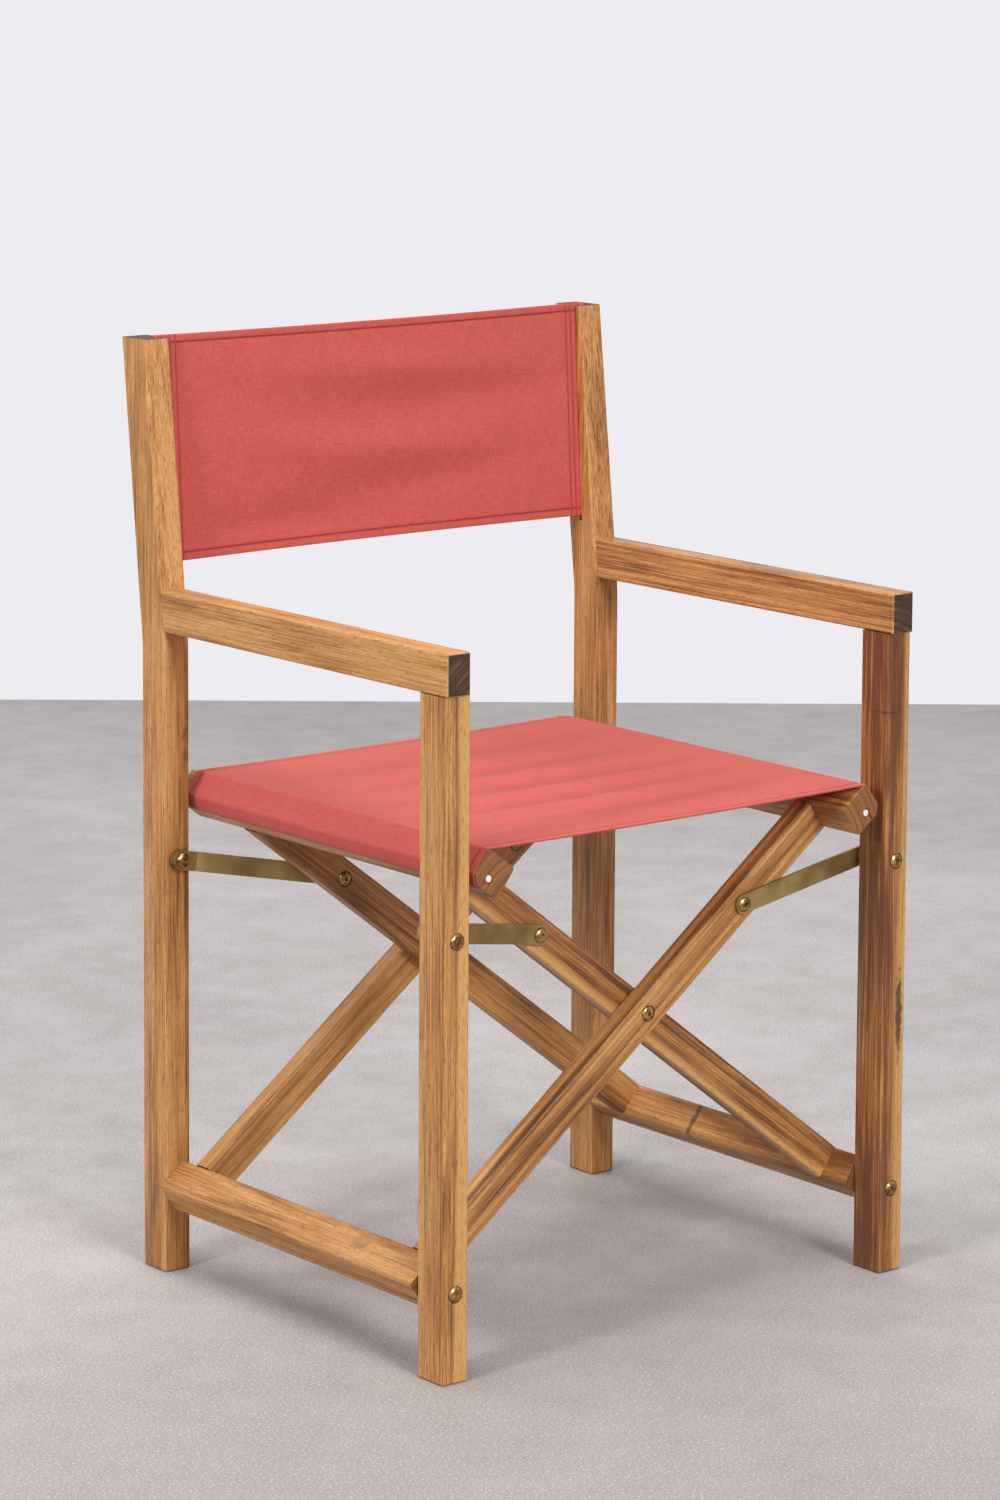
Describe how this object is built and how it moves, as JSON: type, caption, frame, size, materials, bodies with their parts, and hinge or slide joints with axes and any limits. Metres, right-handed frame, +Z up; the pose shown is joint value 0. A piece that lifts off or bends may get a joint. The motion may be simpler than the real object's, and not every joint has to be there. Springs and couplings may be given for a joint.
{
  "type": "folding director chair",
  "caption": "Folding timber director chair: two armrest side frames, crossing X frames with bolted pivots, flat steel links, and a canvas sling back and seat.",
  "frame": {"origin": "on the floor, under the middle of the bounding box", "axes": "+Z up, -Y to the front of the chair, +X to the viewer's right when facing the front"},
  "size_m": [0.5612, 0.482, 0.8728],
  "materials": {
    "timber": "oiled, open grain",
    "zinc": "yellow zinc plated",
    "bolt_metal": "bronze plated, satin",
    "rod": "plain white",
    "canvas": "woven canvas"
  },
  "bodies": {
    "left_side": {"rear_post_left": "timber", "front_leg_left": "timber", "armrest_left": "timber", "arm_dowels_left": "timber", "foot_bolts_left": "bolt_metal", "leg_link_bolts_left": "bolt_metal", "leg_link_nuts_left": "bolt_metal", "link_collars_left": "zinc", "back_rod_left": "rod", "back_sling": "canvas"},
    "right_side": {"rear_post_right": "timber", "front_leg_right": "timber", "armrest_right": "timber", "arm_dowels_right": "timber", "foot_bolts_right": "bolt_metal", "leg_link_bolts_right": "bolt_metal", "leg_link_nuts_right": "bolt_metal", "link_collars_right": "zinc", "back_rod_right": "rod"},
    "frame_a": {"foot_rail_left": "timber", "foot_inserts_left": "zinc", "bar_a_front": "timber", "bar_a_rear": "timber", "seat_rail_right": "timber", "seat_rod_right": "rod", "cross_bolt_front": "bolt_metal", "cross_bolt_rear": "bolt_metal", "cross_nut_front": "bolt_metal", "cross_nut_rear": "bolt_metal", "cross_washers": "zinc", "bar_link_bolts_right": "bolt_metal"},
    "frame_b": {"foot_rail_right": "timber", "foot_inserts_right": "zinc", "bar_b_front": "timber", "bar_b_rear": "timber", "seat_rail_left": "timber", "seat_rod_left": "rod", "bar_link_bolts_left": "bolt_metal", "seat_sling": "canvas"},
    "link_front_left_body": {"link_front_left": "zinc", "link_cap_front_left": "bolt_metal"},
    "link_rear_left_body": {"link_rear_left": "zinc", "link_cap_rear_left": "bolt_metal"},
    "link_front_right_body": {"link_front_right": "zinc", "link_cap_front_right": "bolt_metal"},
    "link_rear_right_body": {"link_rear_right": "zinc", "link_cap_rear_right": "bolt_metal"}
  },
  "joints": [
    {"name": "fold", "type": "hinge", "parent": "left_side", "child": "frame_a", "pos_m": [-0.26, -0.01404, 0.08], "axis": [0, -1, 0], "range_deg": [0, 32.9], "deforming": ["back_sling"]},
    {"name": "crossing", "type": "hinge", "parent": "frame_a", "child": "frame_b", "pos_m": [0, -0.01404, 0.2775], "axis": [0, -1, 0], "range_deg": [-70.1, 0], "deforming": ["seat_sling"]},
    {"name": "right_foot", "type": "hinge", "parent": "frame_b", "child": "right_side", "pos_m": [0.26, -0.01404, 0.08], "axis": [0, -1, 0], "range_deg": [0, 33]},
    {"name": "link_front_left_pin", "type": "hinge", "parent": "left_side", "child": "link_front_left_body", "pos_m": [-0.26, -0.19204, 0.3905], "axis": [0, -1, 0], "range_deg": [0, 72]},
    {"name": "link_rear_left_pin", "type": "hinge", "parent": "left_side", "child": "link_rear_left_body", "pos_m": [-0.26, 0.16396, 0.3905], "axis": [0, -1, 0], "range_deg": [0, 72]},
    {"name": "link_front_right_pin", "type": "hinge", "parent": "right_side", "child": "link_front_right_body", "pos_m": [0.26, -0.19204, 0.3905], "axis": [0, -1, 0], "range_deg": [-72, 0]},
    {"name": "link_rear_right_pin", "type": "hinge", "parent": "right_side", "child": "link_rear_right_body", "pos_m": [0.26, 0.16396, 0.3905], "axis": [0, -1, 0], "range_deg": [-72, 0]}
  ],
  "couplings": [
    {"joint": "crossing", "follows": "fold", "ratio": -2.1277},
    {"joint": "right_foot", "follows": "fold", "ratio": 1},
    {"joint": "link_front_left_pin", "follows": "fold", "ratio": 2.18},
    {"joint": "link_rear_left_pin", "follows": "fold", "ratio": 2.18},
    {"joint": "link_front_right_pin", "follows": "fold", "ratio": -2.18},
    {"joint": "link_rear_right_pin", "follows": "fold", "ratio": -2.18}
  ]
}
